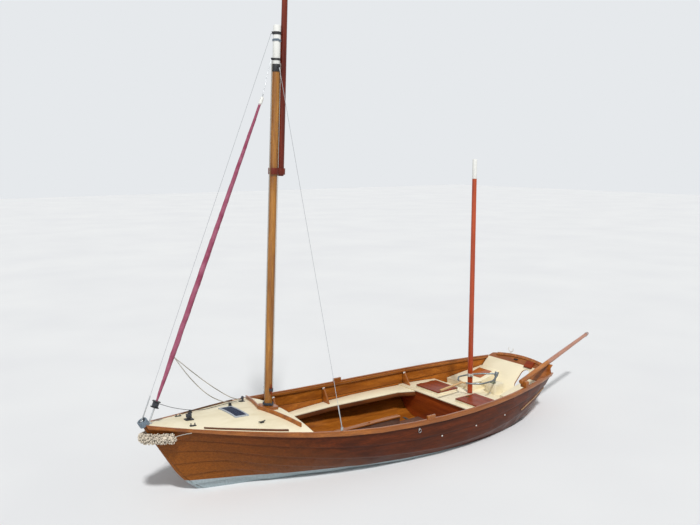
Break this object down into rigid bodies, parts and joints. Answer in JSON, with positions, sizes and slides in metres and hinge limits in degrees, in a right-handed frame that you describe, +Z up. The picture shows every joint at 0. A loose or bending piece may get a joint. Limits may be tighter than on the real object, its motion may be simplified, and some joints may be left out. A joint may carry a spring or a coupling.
{
  "type": "gunter yawl sailing dinghy",
  "caption": "Open clinker dinghy rigged as a gunter yawl, with foredeck, side benches, centreplate, rudder and tiller, furled jib, hatch lids and a bumkin.",
  "frame": {"origin": "on the centreline amidships, at the waterline", "axes": "+X to the bow, +Y to port, +Z up"},
  "size_m": [7.3212, 1.9496, 7.2037],
  "materials": {
    "topside_wood": "dark mahogany, satin varnish",
    "bottom_paint": "pale blue-grey antifouling paint, matt",
    "rail_varnish": "orange-brown varnish",
    "deck_paint": "cream paint, satin",
    "red_varnish": "red-brown varnish",
    "sole_wood": "worn oiled wood",
    "mast_wood": "golden varnish",
    "mizzen_wood": "red-orange varnish",
    "yard_wood": "dark red varnish",
    "bumkin_wood": "weathered varnish",
    "white_paint": "white gloss paint",
    "dark_paint": "black paint",
    "steel": "stainless, satin",
    "galvanised": "galvanised, matt",
    "white_plastic": "satin",
    "black_plastic": "matt",
    "cells": "dark blue solar cells under clear plastic",
    "frame_metal": "anodised",
    "jib_cloth": "dusty rose woven sailcloth",
    "rope": "worn natural rope"
  },
  "bodies": {
    "hull": {"aft_sole": "deck_paint", "apron": "rail_varnish", "bench_knees": "rail_varnish", "bottom_strakes": "bottom_paint", "bow_fender": "rope", "breakwater": "rail_varnish", "bumkin": "bumkin_wood", "bumkin_chocks": "rail_varnish", "case_cap": "rail_varnish", "centreplate_case": "sole_wood", "centreplate_pin": "steel", "deck_beams": "rail_varnish", "fairleads": "steel", "floors_and_steps": "sole_wood", "foredeck": "deck_paint", "furler_base": "steel", "hatch_coamings": "deck_paint", "inwales": "rail_varnish", "jib_halyard": "steel", "keel": "bottom_paint", "main_mast": "mast_wood", "mast_bands": "dark_paint", "mast_heads": "white_paint", "mast_partner": "rail_varnish", "mizzen_mast": "mizzen_wood", "mizzen_thwart": "deck_paint", "mooring_bollard": "dark_paint", "outboard_pad": "red_varnish", "rail_caps": "rail_varnish", "rowlock_chocks": "rail_varnish", "rub_rails": "rail_varnish", "rudder_trunk": "deck_paint", "rudder_tube": "steel", "sculling_rowlock": "white_plastic", "sheer_strakes": "topside_wood", "side_benches": "deck_paint", "side_deck_walls": "deck_paint", "side_decks": "deck_paint", "side_strakes": "topside_wood", "solar_frame": "frame_metal", "solar_panel": "cells", "sole_boards": "sole_wood", "stay_fittings": "steel", "stays": "steel", "stem": "topside_wood", "thwart_bulkheads": "red_varnish", "toe_rails": "rail_varnish", "transom": "topside_wood", "transom_trim": "rail_varnish"},
    "rudder": {"rudder": "galvanised", "tiller": "galvanised"},
    "centreplate": {"centreplate": "galvanised"},
    "port_hatch_lid": {"port_hatch_lid": "red_varnish"},
    "starboard_hatch_lid": {"starboard_hatch_lid": "red_varnish"},
    "yard": {"gunter_yard": "yard_wood", "yard_jaws": "rail_varnish"},
    "jib": {"furling_drum": "black_plastic", "furled_jib": "jib_cloth"}
  },
  "joints": [
    {"name": "rudder_turn", "type": "hinge", "parent": "hull", "child": "rudder", "pos_m": [-2.17, 0, -0.06], "axis": [-0.3746, 0, 0.9272], "range_deg": [-18, 18]},
    {"name": "centreplate_swing", "type": "hinge", "parent": "hull", "child": "centreplate", "pos_m": [0.33, 0, -0.12], "axis": [0, -1, 0], "range_deg": [0, 75]},
    {"name": "port_lid_lift", "type": "hinge", "parent": "hull", "child": "port_hatch_lid", "pos_m": [-1.604, 0.625, 0.341], "axis": [-1, 0, 0], "range_deg": [0, 95]},
    {"name": "starboard_lid_lift", "type": "hinge", "parent": "hull", "child": "starboard_hatch_lid", "pos_m": [-1.604, -0.625, 0.341], "axis": [1, 0, 0], "range_deg": [0, 95]},
    {"name": "yard_hoist", "type": "slide", "parent": "hull", "child": "yard", "axis": [-0.0436, 0, 0.9991], "range_m": [-2.3, 0]},
    {"name": "jib_furl", "type": "hinge", "parent": "hull", "child": "jib", "pos_m": [2.783, 0, 0.838], "axis": [-0.3854, 0, 0.9228], "continuous": true}
  ]
}
